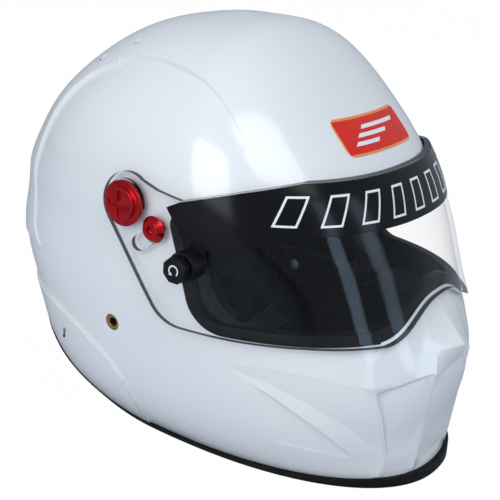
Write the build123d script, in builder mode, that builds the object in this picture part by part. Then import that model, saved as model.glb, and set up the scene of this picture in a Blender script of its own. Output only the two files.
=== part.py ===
# Full-face auto racing helmet, in millimetres.
# It faces -Y, the wearer's right is -X, +Z is up, and the flat of its bottom edge rests on Z = 0.
from build123d import *
import math
import os

os.makedirs("parts", exist_ok=True)

# Overall form of the shell
shell_height = 280.0
half_width = 122.0
front_reach = 158.0
rear_reach = 180.0
widest_y = -10.0
crown_y = 12.0
front_power = 2.25
rear_power = 2.45
section_steps = 36
overrun = 60.0

# Horizontal sections, from under the rim to the crown, as shares of the sizes above
level_shares = [-0.03, 0.0, 0.071, 0.161, 0.271, 0.364, 0.471, 0.582, 0.689, 0.782, 0.871, 0.936, 0.979, 0.996]
front_shares = [0.985, 0.98, 0.965, 0.987, 1.0, 0.94, 0.857, 0.772, 0.668, 0.525, 0.372, 0.247, 0.13, 0.04]
rear_shares = [0.59, 0.656, 0.761, 0.856, 0.922, 0.989, 1.0, 0.978, 0.9, 0.8, 0.656, 0.511, 0.34, 0.2]
width_shares = [0.64, 0.705, 0.844, 0.943, 0.984, 1.0, 1.0, 0.996, 0.975, 0.91, 0.766, 0.59, 0.361, 0.16]

# Walls and linings, counted outward (+) or inward (-) from the shell's outer face
shell_wall = 3.0
bond_gap = 0.2
liner_depth = 31.0
comfort_depth = 41.0
cheek_depth = 40.0
neck_depth = 27.0
chin_liner_depth = 21.0
crown_step = 2.5
panel_step = 2.0

# Bottom edge: flat under the front and sides, rising at the back
rim_flat_end = 15.0
rim_rise = [(60.0, 8.0), (95.0, 24.0), (140.0, 58.0)]
trim_height = 7.0
trim_floor = 2.0
trim_out = 3.4
trim_in = 2.4

# Eyeport, in side view as (Y, Z)
eyeport_low = 112.0
eyeport_high = 191.5
eyeport_corner = (-45.5, 107.5)
eyeport_low_bend = (-100.0, 109.0)
eyeport_top_corner = (-24.0, 170.5)
eyeport_top_bend = (-34.0, 178.0)
eyeport_top_front = (-92.0, 191.5)
eyeport_corner_radius = 24.0
eyeport_small_radius = 6.0
gasket_out = 0.9
gasket_in = 2.4
gasket_lip = 3.4
liner_setback = 7.0
nose_peak = [(62.0, 106.0), (46.0, 111.0), (27.0, 120.5), (14.0, 124.5), (0.0, 125.5)]
nose_lap = 5.0

# Shield
shield_clearance = 1.5
shield_thickness = 3.0
shield_rear_extra = 45.0
pivot_y = 10.5
pivot_z = 174.5
arm_radius = 19.0
arm_top = (10.5, 193.5)
shield_top = [(-12.0, 187.0), (-30.0, 184.5), (-63.0, 195.0), (-90.0, 202.0)]
shield_top_front = 203.0
arm_low = (25.5, 162.5)
shield_low_corner = (-21.5, 103.5)
shield_low = [(-70.0, 104.5), (-110.0, 106.0)]
shield_low_radius = 26.0
shield_opening = 38.0
strip_gap = 0.1
strip_thickness = 0.5
strip_setback = 0.6
strip_rear = [(-21.0, 179.0), (-33.0, 164.0), (-39.0, 158.5)]
strip_low = [(-46.0, 158.0), (-76.0, 165.0), (-95.0, 170.5), (-116.0, 173.0)]
strip_low_front = 174.0

# Pivot and stop screws
boss_radius = 15.2
boss_inner = 122.8
boss_face = 126.3
washer_out = 0.6
washer_radius = 11.0
pivot_shoulder_radius = 4.95
pivot_hole_radius = 5.05
pivot_head_gap = 0.3
pivot_rim_radius = 14.5
pivot_rim_height = 2.4
pivot_cap_radius = 10.8
pivot_cap_height = 3.0
coin_slot_width = 3.2
coin_slot_depth = 1.8
coin_slot_length = 17.0
screw_end = 109.0
shoulder_end = 117.6
stop_y = -13.0
stop_z = 163.0
stop_head_radius = 8.7
stop_face_radius = 5.6
stop_head_level = 126.7
stop_head_height = 3.6
stop_socket_radius = 2.7
stop_socket_depth = 2.4
stop_shank_radius = 4.6
slot_radius = 5.0
nut_flange_radius = 9.5
nut_flange_level = 113.6
nut_flange_height = 2.0
thread_core_radius = 4.0
nut_gap = 0.1
pocket_radius = 11.0

# Tear-off post knobs
post_y = -41.0
post_z = 148.0
post_base_radius = 9.5
post_base_level = 134.0
post_root = 118.0
post_gap = 0.3
knob_radius = 8.4
knob_sides = 8
knob_height = 5.6
knob_waist_radius = 6.8
knob_waist_height = 1.6
knob_shaft_radius = 3.0
knob_bore_radius = 3.05
knob_shaft_length = 7.0

# Head-restraint anchors, vents and the strap plates
anchor_y = 23.0
anchor_z = 88.0
anchor_radius = 5.5
anchor_bore_radius = 3.0
anchor_face = 119.4
anchor_length = 10.0
anchor_flange_radius = 9.5
anchor_flange_level = 113.4
anchor_flange_height = 2.0
vent_radius = 2.8
vent_places = [(64.0, 57.0), (68.0, 83.0)]
slit_y = 77.0
slit_z = 59.0
slit_width = 3.0
slit_height = 11.0
slit_angle = 24.0

# Pads, in side view as (Y, Z)
liner_outline = [(-62.0, 150.0), (-54.0, 84.0), (37.0, 84.0), (38.0, 46.0), (72.0, 52.0), (104.0, 68.0), (220.0, 84.0)]
comfort_outline = [(-62.0, 150.0), (-46.0, 92.0), (30.0, 92.0), (44.0, 56.0), (76.0, 60.0), (104.0, 74.0), (220.0, 90.0)]
cheek_outline = [(-104.0, 20.0), (6.0, 13.0), (6.0, 81.0), (-60.0, 81.0), (-70.0, 97.0), (-104.0, 97.0)]
cheek_round = 9.0
neck_outline = [(41.0, -40.0), (220.0, -40.0), (220.0, 80.0), (104.0, 64.0), (72.0, 49.0), (41.0, 43.0)]
chin_outline = [(-108.0, 20.0), (-108.0, 99.0), (-220.0, 99.0), (-220.0, 20.0)]

# Chin strap, laid inside the rim: each half runs down the wall from a plate and in towards the middle
strap_y = 22.0
strap_width = 25.0
strap_thickness = 1.6
strap_top = 75.5
strap_wall_x = 110.1
strap_wall_low = 59.0
strap_bend = [(107.6, 46.0), (100.5, 33.5), (88.0, 27.5), (70.0, 24.8), (47.6, 24.0)]
strap_free_end = [(30.0, 23.9), (10.0, 24.0)]
plate_face = 111.0
plate_low = 57.0
plate_high = 77.0
plate_width = 22.0
rivet_z = 67.0
rivet_radius = 3.0
rivet_head_radius = 4.6
rivet_head_height = 1.4
rivet_reach = 2.0
ring_wire_radius = 1.6
ring_eye_radius = 1.9
ring_corner = 1.8
ring_half_width = 14.5
ring_straight = 6.0
ring_bar_x = 45.0
ring_levels = {"lower": 21.9, "upper": 26.1}
loop_wall = 1.4
snap_x = 16.0
snap_radius = 6.0
snap_disc_height = 1.2
snap_stud_radius = 2.6
snap_stud_height = 2.0

# Forehead decal
decal_out = 0.3
decal_half_width = 42.0
decal_low = 210.5
decal_high = 230.5
decal_round = 5.0


def section_points(front, rear, side):
    """Points round one horizontal section: a superellipse with its own reach to the front and rear."""
    points = []
    for step in range(section_steps):
        turn = math.tau * step / section_steps
        along = math.cos(turn)
        across = math.sin(turn)
        power = rear_power if along > 0 else front_power
        reach = (abs(along) ** power + abs(across) ** power) ** (-1.0 / power)
        depth = rear if along > 0 else front
        points.append((side * reach * across, widest_y + depth * reach * along))
    return points


def section_faces(outset, rear_extra):
    """Faces of the stacked sections of the form that lies one outset off the shell."""
    faces = []
    rows = zip(level_shares, front_shares, rear_shares, width_shares)
    for level_share, front_share, rear_share, width_share in rows:
        level = level_share * (shell_height + outset)
        front = front_share * (front_reach + outset)
        rear = rear_share * (rear_reach + outset + rear_extra)
        side = width_share * (half_width + outset)
        with BuildSketch(Plane.XY.offset(level)) as section:
            with BuildLine():
                Spline(*section_points(front, rear, side), periodic=True)
            make_face()
        faces.append(section.sketch.faces()[0])
    return faces


# Nested forms of the head: each is a smooth closed dome one outset off the shell's face.
# The shield's own forms have a longer rear reach, so that its arms run straight back past the pivots.
shield_face = shield_clearance + shield_thickness
strip_face = shield_face + strip_gap
form_table = {
    "shell_outer": (0.0, 0.0),
    "shell_inner": (-shell_wall, 0.0),
    "liner_outer": (-shell_wall - bond_gap, 0.0),
    "liner_inner": (-liner_depth, 0.0),
    "comfort_outer": (-liner_depth - bond_gap, 0.0),
    "comfort_inner": (-comfort_depth, 0.0),
    "cheek_inner": (-cheek_depth, 0.0),
    "neck_inner": (-neck_depth, 0.0),
    "chin_liner_inner": (-chin_liner_depth, 0.0),
    "panel": (panel_step, 0.0),
    "trim_outer": (trim_out, 0.0),
    "trim_inner": (-shell_wall - trim_in, 0.0),
    "gasket_outer": (gasket_out, 0.0),
    "washer": (washer_out, 0.0),
    "decal": (decal_out, 0.0),
    "shield_inner": (shield_clearance, shield_rear_extra),
    "shield_outer": (shield_face, shield_rear_extra),
    "strip_inner": (strip_face, shield_rear_extra),
    "strip_outer": (strip_face + strip_thickness, shield_rear_extra),
}
forms = {}
for form_name, (form_outset, form_extra) in form_table.items():
    dome_faces = section_faces(form_outset, form_extra)
    dome_top = Vertex(0.0, crown_y, shell_height + form_outset)
    with BuildPart() as dome:
        loft(sections=dome_faces + [dome_top])
    forms[form_name] = dome.part

# Everything under the rim line, as a solid to cut away
far_front = -front_reach - overrun
far_rear = rear_reach + overrun
side_reach = half_width + overrun
with BuildPart() as under_rim:
    with BuildSketch(Plane.YZ):
        with BuildLine():
            Line((far_front, -overrun), (far_front, 0.0))
            Line((far_front, 0.0), (rim_flat_end, 0.0))
            rise = Spline((rim_flat_end, 0.0), *rim_rise, tangents=[(1.0, 0.0), (1.0, 1.0)])
            Line(rise @ 1, (far_rear, rim_rise[-1][1] + overrun))
            Line((far_rear, rim_rise[-1][1] + overrun), (far_rear, -overrun))
            Line((far_rear, -overrun), (far_front, -overrun))
        make_face()
    extrude(amount=side_reach, both=True)

# The eyeport seen from the side, through the whole helmet, with larger and smaller copies of it
eyeport_grows = {"cut": 0.0, "gasket_outer": gasket_lip, "gasket_inner": -gasket_lip, "liner": liner_setback}
eyeports = {}
for eyeport_name, eyeport_grow in eyeport_grows.items():
    with BuildPart() as eyeport:
        with BuildSketch(Plane.YZ):
            with BuildLine():
                Polyline(
                    (far_front, eyeport_low),
                    eyeport_low_bend,
                    eyeport_corner,
                    eyeport_top_corner,
                    eyeport_top_bend,
                    eyeport_top_front,
                    (far_front, eyeport_high),
                    close=True,
                )
            make_face()
            fillet(vertices().sort_by(Axis.X)[-3], radius=eyeport_corner_radius)
            fillet(vertices().sort_by(Axis.X)[-1], radius=eyeport_small_radius)
            if eyeport_grow:
                offset(amount=eyeport_grow)
        extrude(amount=side_reach, both=True)
    eyeports[eyeport_name] = eyeport.part

# The peak in the middle of the chin bar's top edge, seen from the front
peak_rises = {"shield": 0.0, "gasket_low": nose_lap - gasket_lip, "shell": nose_lap, "gasket_high": nose_lap + gasket_lip}
peaks = {}
for peak_name, peak_rise in peak_rises.items():
    peak_points = [(x, z + peak_rise) for x, z in nose_peak]
    mirrored_points = [(-x, z) for x, z in reversed(peak_points[:-1])]
    peak_base = nose_peak[0][0]
    with BuildPart() as peak:
        with BuildSketch(Plane.XZ.offset(front_reach - overrun)):
            with BuildLine():
                crest = Spline(*peak_points, *mirrored_points)
                Polyline(crest @ 1, (-peak_base, 0.0), (peak_base, 0.0), crest @ 0)
            make_face()
        extrude(amount=overrun + overrun)
    peaks[peak_name] = peak.part

# The faceted prow of the chin: half outlines from the side to the middle, as (X, Y) at each level
prow_levels = [8.0, 21.0, 81.0, 95.0, 118.0, 130.0]
prow_side = [(64.0, -124.0), (75.0, -120.0), (88.0, -118.0), (87.0, -117.0), (78.0, -117.0), (72.0, -115.0)]
prow_shoulder = [(50.0, -147.0), (51.0, -150.5), (72.0, -146.5), (70.0, -142.5), (54.0, -141.5), (50.0, -138.0)]
prow_corner = [(26.0, -160.5), (26.0, -162.0), (27.0, -167.0), (23.0, -163.0), (20.0, -150.0), (18.0, -142.5)]
prow_middle = [-161.5, -163.5, -167.5, -173.0, -151.5, -144.0]
prow_back = -70.0
prows = {}
for prow_name, prow_inset in {"outer": 0.0, "inner": shell_wall + bond_gap}.items():
    prow_faces = []
    for row, prow_level in enumerate(prow_levels):
        half = [prow_side[row], prow_shoulder[row], prow_corner[row]]
        half = [(x - prow_inset, y + prow_inset) for x, y in half]
        other = [(-x, y) for x, y in reversed(half)]
        back = [(-half[0][0], prow_back), (half[0][0], prow_back)]
        with BuildSketch(Plane.XY.offset(prow_level)) as prow_section:
            with BuildLine():
                Polyline(*half, (0.0, prow_middle[row] + prow_inset), *other, *back, close=True)
            make_face()
        prow_faces.append(prow_section.sketch.faces()[0])
    with BuildPart() as prow:
        loft(sections=prow_faces, ruled=True)
    prows[prow_name] = prow.part

# The raised middle of the crown, seen from above, and of the back, seen from behind
crown_plan = [(80.0, 200.0), (79.0, 98.0), (78.0, 50.0), (81.0, 21.0), (86.0, -4.0), (92.0, -34.0), (104.0, -90.0)]
crown_rear = [(105.0, 116.0), (100.0, 126.0), (96.0, 153.0), (92.0, 180.0), (88.0, 204.0), (80.0, 238.0), (79.0, 300.0)]
crown_plan_level = 205.0
crown_rear_start = 62.0
crown_shift = Location((0.0, crown_step, crown_step))
with BuildPart() as crown_top:
    with BuildSketch(Plane.XY.offset(crown_plan_level)):
        with BuildLine():
            Polyline(*crown_plan, *[(-x, y) for x, y in reversed(crown_plan)], close=True)
        make_face()
    extrude(amount=shell_height)
    add(forms["shell_outer"].moved(crown_shift), mode=Mode.INTERSECT)
with BuildPart() as crown_back:
    with BuildSketch(Plane.XZ.offset(-crown_rear_start)):
        with BuildLine():
            Polyline(*crown_rear, *[(-x, z) for x, z in reversed(crown_rear)], close=True)
        make_face()
    extrude(amount=-rear_reach)
    add(forms["shell_outer"].moved(crown_shift), mode=Mode.INTERSECT)

# The lower rear panel, seen from the side
panel_outline = [(200.0, 83.0), (92.0, 80.0), (57.0, 72.0), (30.0, 60.0), (16.0, 46.0), (10.0, 28.0), (7.0, -20.0)]
with BuildPart() as rear_panel:
    with BuildSketch(Plane.YZ):
        with BuildLine():
            Polyline(*panel_outline, (200.0, -20.0), close=True)
        make_face()
    extrude(amount=side_reach, both=True)
    add(forms["panel"], mode=Mode.INTERSECT)

# Holes through both sides of the shell, holes in the crown, and the pockets behind the fasteners
with BuildPart() as side_holes:
    with BuildSketch(Plane.YZ):
        with Locations((pivot_y, pivot_z)):
            Circle(pivot_shoulder_radius + bond_gap)
        with Locations((stop_y, stop_z)):
            Circle(stop_shank_radius + bond_gap)
        with Locations((anchor_y, anchor_z)):
            Circle(anchor_radius + bond_gap)
        with Locations((slit_y, slit_z)):
            SlotOverall(slit_height, slit_width, rotation=90.0 + slit_angle)
    extrude(amount=side_reach, both=True)
with BuildPart() as vent_holes:
    with BuildSketch(Plane.XY.offset(shell_height / 2)):
        for vent_x, vent_y in vent_places:
            with Locations((vent_x, vent_y), (-vent_x, vent_y)):
                Circle(vent_radius)
    extrude(amount=shell_height)
with BuildPart() as side_pockets:
    with BuildSketch(Plane.YZ):
        with Locations((pivot_y, pivot_z), (stop_y, stop_z), (anchor_y, anchor_z)):
            Circle(pocket_radius)
    extrude(amount=side_reach, both=True)
with BuildPart() as pocket_core:
    with Locations((0.0, 0.0, shell_height / 2)):
        Box(screw_end + screw_end - 2 * bond_gap, side_reach * 2, shell_height)

# Outer shell
with BuildPart() as outer_shell:
    add(forms["shell_outer"])
    add(prows["outer"])
    add(crown_top.part)
    add(crown_back.part)
    add(rear_panel.part)
    add(forms["shell_inner"], mode=Mode.SUBTRACT)
    add(prows["inner"], mode=Mode.SUBTRACT)
    add(under_rim.part.moved(Location((0.0, 0.0, trim_floor))), mode=Mode.SUBTRACT)
    add(eyeports["cut"] - peaks["shell"], mode=Mode.SUBTRACT)
    add(side_holes.part, mode=Mode.SUBTRACT)
    add(vent_holes.part, mode=Mode.SUBTRACT)
outer_shell.part.label = "outer_shell"
export_step(outer_shell.part, "parts/outer_shell.step")

# Rubber trim along the shell's bottom edge
with BuildPart() as rim_trim:
    add(forms["trim_outer"])
    add(forms["trim_inner"], mode=Mode.SUBTRACT)
    add(under_rim.part.moved(Location((0.0, 0.0, trim_height))), mode=Mode.INTERSECT)
    add(under_rim.part, mode=Mode.SUBTRACT)
    add(outer_shell.part, mode=Mode.SUBTRACT)
rim_trim.part.label = "rim_trim"
export_step(rim_trim.part, "parts/rim_trim.step")

# Rubber gasket round the eyeport
with BuildPart() as eyeport_gasket:
    add(forms["gasket_outer"])
    add(forms["trim_inner"], mode=Mode.SUBTRACT)
    add(eyeports["gasket_outer"] - peaks["gasket_low"], mode=Mode.INTERSECT)
    add(eyeports["gasket_inner"] - peaks["gasket_high"], mode=Mode.SUBTRACT)
    add(outer_shell.part, mode=Mode.SUBTRACT)
eyeport_gasket.part.label = "eyeport_gasket"
export_step(eyeport_gasket.part, "parts/eyeport_gasket.step")

# Outlines of the linings, each extruded through the helmet
lining_tops = [(far_rear, shell_height + overrun), (far_front, shell_height + overrun), (far_front, 150.0)]
linings = {}
for lining_name, lining_points in {"liner": liner_outline, "comfort": comfort_outline}.items():
    with BuildPart() as lining:
        with BuildSketch(Plane.YZ):
            with BuildLine():
                Polyline(*lining_points, *lining_tops, close=True)
            make_face()
        extrude(amount=side_reach, both=True)
    linings[lining_name] = lining.part
for lining_name, lining_points in {"neck": neck_outline, "chin": chin_outline}.items():
    with BuildPart() as lining:
        with BuildSketch(Plane.YZ):
            with BuildLine():
                Polyline(*lining_points, close=True)
            make_face()
        extrude(amount=side_reach, both=True)
    linings[lining_name] = lining.part

# Impact liner of expanded foam
with BuildPart() as impact_liner:
    add(forms["liner_outer"])
    add(linings["liner"], mode=Mode.INTERSECT)
    add(forms["liner_inner"], mode=Mode.SUBTRACT)
    add(eyeports["liner"], mode=Mode.SUBTRACT)
    add(side_pockets.part - pocket_core.part, mode=Mode.SUBTRACT)
impact_liner.part.label = "impact_liner"
export_step(impact_liner.part, "parts/impact_liner.step")

# Foam block of the chin bar
with BuildPart() as chin_bar_liner:
    add(forms["liner_outer"])
    add(linings["chin"], mode=Mode.INTERSECT)
    add(forms["chin_liner_inner"], mode=Mode.SUBTRACT)
chin_bar_liner.part.label = "chin_bar_liner"
export_step(chin_bar_liner.part, "parts/chin_bar_liner.step")

# Cloth-covered comfort liner of the crown and brow
with BuildPart() as comfort_liner:
    add(forms["comfort_outer"])
    add(linings["comfort"], mode=Mode.INTERSECT)
    add(forms["comfort_inner"], mode=Mode.SUBTRACT)
    add(eyeports["liner"], mode=Mode.SUBTRACT)
comfort_liner.part.label = "comfort_liner"
export_step(comfort_liner.part, "parts/comfort_liner.step")

# Neck roll along the bottom of the back
with BuildPart() as neck_roll:
    add(forms["liner_outer"])
    add(linings["neck"], mode=Mode.INTERSECT)
    add(forms["neck_inner"], mode=Mode.SUBTRACT)
    add(under_rim.part.moved(Location((0.0, 0.0, trim_height + bond_gap))), mode=Mode.SUBTRACT)
neck_roll.part.label = "neck_roll"
export_step(neck_roll.part, "parts/neck_roll.step")

# Cheek pads
for side_name, sign in (("right", -1.0), ("left", 1.0)):
    with BuildPart() as cheek_pad:
        with BuildSketch(Plane.YZ):
            with BuildLine():
                Polyline(*cheek_outline, close=True)
            make_face()
            fillet(vertices(), radius=cheek_round)
        extrude(amount=sign * side_reach)
        add(forms["liner_outer"], mode=Mode.INTERSECT)
        add(forms["cheek_inner"], mode=Mode.SUBTRACT)
    cheek_pad.part.label = "cheek_pad_" + side_name
    export_step(cheek_pad.part, "parts/cheek_pad_" + side_name + ".step")

# Shield: a clear sheet with an arm on each side, holed for the pivot and slotted for the stop screw
stop_dy = stop_y - pivot_y
stop_dz = stop_z - pivot_z
stop_radius = math.hypot(stop_dy, stop_dz)
stop_angle = math.degrees(math.atan2(stop_dz, stop_dy))
with BuildPart() as shield_outline:
    with BuildSketch(Plane.YZ):
        with BuildLine():
            Polyline(
                arm_top,
                *shield_top,
                (far_front, shield_top_front),
                (far_front, shield_low[-1][1]),
                *reversed(shield_low),
                shield_low_corner,
                arm_low,
                close=True,
            )
        make_face()
        low_corner = vertices().sort_by_distance(Vertex(0.0, *shield_low_corner))[0]
        fillet(low_corner, radius=shield_low_radius)
        with Locations((pivot_y, pivot_z)):
            Circle(arm_radius)
    extrude(amount=side_reach, both=True)
with BuildPart() as shield_cuts:
    with BuildSketch(Plane.YZ):
        with Locations((pivot_y, pivot_z)):
            Circle(pivot_hole_radius)
        with BuildLine():
            slot_line = CenterArc((pivot_y, pivot_z), stop_radius, stop_angle, shield_opening)
        slot_ends = [slot_line @ 0, slot_line @ 1]
        trace(slot_line, line_width=slot_radius + slot_radius)
        with Locations(*slot_ends):
            Circle(slot_radius)
    extrude(amount=side_reach, both=True)
with BuildPart() as shield_bosses:
    for sign in (-1.0, 1.0):
        with BuildSketch(Plane.YZ.offset(sign * boss_inner)):
            with Locations((pivot_y, pivot_z)):
                Circle(boss_radius)
        extrude(amount=sign * (boss_face - boss_inner))
with BuildPart() as shield:
    add(forms["shield_outer"])
    add(forms["shield_inner"], mode=Mode.SUBTRACT)
    add(shield_outline.part, mode=Mode.INTERSECT)
    add(peaks["shield"], mode=Mode.SUBTRACT)
    add(shield_bosses.part)
    add(shield_cuts.part, mode=Mode.SUBTRACT)
shield.part.label = "shield"
export_step(shield.part, "parts/shield.step")

# Dark sun strip on the outside of the shield's top
with BuildPart() as sun_strip:
    with BuildSketch(Plane.YZ):
        strip_top = [(y, z - strip_setback) for y, z in shield_top[1:]]
        with BuildLine():
            Polyline(
                *reversed(strip_low),
                *reversed(strip_rear),
                *strip_top,
                (far_front, shield_top_front - strip_setback),
                (far_front, strip_low_front),
                close=True,
            )
        make_face()
    extrude(amount=side_reach, both=True)
    add(forms["strip_outer"], mode=Mode.INTERSECT)
    add(forms["strip_inner"], mode=Mode.SUBTRACT)
sun_strip.part.label = "sun_strip"
export_step(sun_strip.part, "parts/sun_strip.step")

# Fasteners, knobs and anchors of each side; sign points from the middle of the helmet outward
for side_name, sign in (("right", -1.0), ("left", 1.0)):
    side_plane = Plane.YZ
    with BuildPart() as pivot_screw:
        head_level = boss_face + pivot_head_gap
        with BuildSketch(side_plane.offset(sign * head_level)):
            with Locations((pivot_y, pivot_z)):
                Circle(pivot_rim_radius)
        extrude(amount=sign * pivot_rim_height)
        with BuildSketch(side_plane.offset(sign * (head_level + pivot_rim_height))):
            with Locations((pivot_y, pivot_z)):
                Circle(pivot_cap_radius)
        extrude(amount=sign * pivot_cap_height)
        with BuildSketch(side_plane.offset(sign * shoulder_end)):
            with Locations((pivot_y, pivot_z)):
                Circle(pivot_shoulder_radius)
        extrude(amount=sign * (head_level - shoulder_end))
        with BuildSketch(side_plane.offset(sign * screw_end)):
            with Locations((pivot_y, pivot_z)):
                Circle(thread_core_radius)
        extrude(amount=sign * (shoulder_end - screw_end))
        face_level = head_level + pivot_rim_height + pivot_cap_height
        with BuildSketch(side_plane.offset(sign * (face_level - coin_slot_depth))):
            with Locations((pivot_y, pivot_z)):
                Rectangle(coin_slot_length, coin_slot_width)
                Rectangle(coin_slot_width, coin_slot_length)
        extrude(amount=sign * coin_slot_depth, mode=Mode.SUBTRACT)
    pivot_screw.part.label = "pivot_screw_" + side_name
    export_step(pivot_screw.part, "parts/pivot_screw_" + side_name + ".step")

    with BuildPart() as pivot_washer:
        with BuildSketch(side_plane.offset(sign * nut_flange_level)):
            with Locations((pivot_y, pivot_z)):
                Circle(washer_radius)
                Circle(pivot_hole_radius, mode=Mode.SUBTRACT)
        extrude(amount=sign * overrun)
        add(forms["washer"], mode=Mode.INTERSECT)
        add(forms["shell_outer"], mode=Mode.SUBTRACT)
    pivot_washer.part.label = "pivot_washer_" + side_name
    export_step(pivot_washer.part, "parts/pivot_washer_" + side_name + ".step")

    with BuildPart() as stop_screw:
        with BuildSketch(side_plane.offset(sign * stop_head_level)):
            with Locations((stop_y, stop_z)):
                Circle(stop_head_radius)
        with BuildSketch(side_plane.offset(sign * (stop_head_level + stop_head_height))):
            with Locations((stop_y, stop_z)):
                Circle(stop_face_radius)
        loft()
        with BuildSketch(side_plane.offset(sign * shoulder_end)):
            with Locations((stop_y, stop_z)):
                Circle(stop_shank_radius)
        extrude(amount=sign * (stop_head_level - shoulder_end))
        with BuildSketch(side_plane.offset(sign * screw_end)):
            with Locations((stop_y, stop_z)):
                Circle(thread_core_radius)
        extrude(amount=sign * (shoulder_end - screw_end))
        socket_level = stop_head_level + stop_head_height - stop_socket_depth
        with BuildSketch(side_plane.offset(sign * socket_level)):
            with Locations((stop_y, stop_z)):
                Circle(stop_socket_radius)
        extrude(amount=sign * stop_socket_depth, mode=Mode.SUBTRACT)
    stop_screw.part.label = "stop_screw_" + side_name
    export_step(stop_screw.part, "parts/stop_screw_" + side_name + ".step")

    for nut_name, nut_y, nut_z in (("pivot_nut_", pivot_y, pivot_z), ("stop_nut_", stop_y, stop_z)):
        with BuildPart() as flange_nut:
            with BuildSketch(side_plane.offset(sign * screw_end)):
                with Locations((nut_y, nut_z)):
                    Circle(pivot_shoulder_radius + pivot_rim_height)
            extrude(amount=sign * (nut_flange_level - screw_end))
            with BuildSketch(side_plane.offset(sign * nut_flange_level)):
                with Locations((nut_y, nut_z)):
                    Circle(nut_flange_radius)
            extrude(amount=sign * nut_flange_height)
            with BuildSketch(side_plane.offset(sign * screw_end)):
                with Locations((nut_y, nut_z)):
                    Circle(thread_core_radius + nut_gap)
            extrude(amount=sign * overrun, mode=Mode.SUBTRACT)
        flange_nut.part.label = nut_name + side_name
        export_step(flange_nut.part, "parts/" + nut_name + side_name + ".step")

    with BuildPart() as anchor:
        with BuildSketch(side_plane.offset(sign * (anchor_face - anchor_length))):
            with Locations((anchor_y, anchor_z)):
                Circle(anchor_radius)
        extrude(amount=sign * anchor_length)
        with BuildSketch(side_plane.offset(sign * anchor_flange_level)):
            with Locations((anchor_y, anchor_z)):
                Circle(anchor_flange_radius)
        extrude(amount=sign * anchor_flange_height)
        with BuildSketch(side_plane.offset(sign * (anchor_face - anchor_length))):
            with Locations((anchor_y, anchor_z)):
                Circle(anchor_bore_radius)
        extrude(amount=sign * anchor_length, mode=Mode.SUBTRACT)
    anchor.part.label = "restraint_anchor_" + side_name
    export_step(anchor.part, "parts/restraint_anchor_" + side_name + ".step")

    with BuildPart() as post_base:
        with BuildSketch(side_plane.offset(sign * post_root)):
            with Locations((post_y, post_z)):
                Circle(post_base_radius)
        extrude(amount=sign * (post_base_level - post_root))
        add(forms["strip_inner"], mode=Mode.SUBTRACT)
        with BuildSketch(side_plane.offset(sign * (post_base_level - knob_shaft_length - post_gap))):
            with Locations((post_y, post_z)):
                Circle(knob_bore_radius)
        extrude(amount=sign * overrun, mode=Mode.SUBTRACT)
    post_base.part.label = "tear_off_post_base_" + side_name
    export_step(post_base.part, "parts/tear_off_post_base_" + side_name + ".step")

    with BuildPart() as post_knob:
        knob_level = post_base_level + post_gap
        with BuildSketch(side_plane.offset(sign * knob_level)):
            with Locations((post_y, post_z)):
                Circle(knob_waist_radius)
        extrude(amount=sign * knob_waist_height)
        with BuildSketch(side_plane.offset(sign * (knob_level + knob_waist_height))):
            with Locations((post_y, post_z)):
                RegularPolygon(radius=knob_radius, side_count=knob_sides, rotation=180.0 / knob_sides)
        extrude(amount=sign * knob_height)
        with BuildSketch(side_plane.offset(sign * (post_base_level - knob_shaft_length))):
            with Locations((post_y, post_z)):
                Circle(knob_shaft_radius)
        extrude(amount=sign * (knob_shaft_length + post_gap))
    post_knob.part.label = "tear_off_post_knob_" + side_name
    export_step(post_knob.part, "parts/tear_off_post_knob_" + side_name + ".step")

# Forehead decal: a bare rounded panel
with BuildPart() as forehead_decal:
    decal_middle = (decal_low + decal_high) / 2
    with BuildSketch(Plane.XZ.offset(overrun / 2)):
        with Locations((0.0, decal_middle)):
            RectangleRounded(2 * decal_half_width, decal_high - decal_low, decal_round)
    extrude(amount=front_reach)
    add(forms["decal"], mode=Mode.INTERSECT)
    add(forms["shell_outer"], mode=Mode.SUBTRACT)
forehead_decal.part.label = "forehead_decal"
export_step(forehead_decal.part, "parts/forehead_decal.step")

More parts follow.
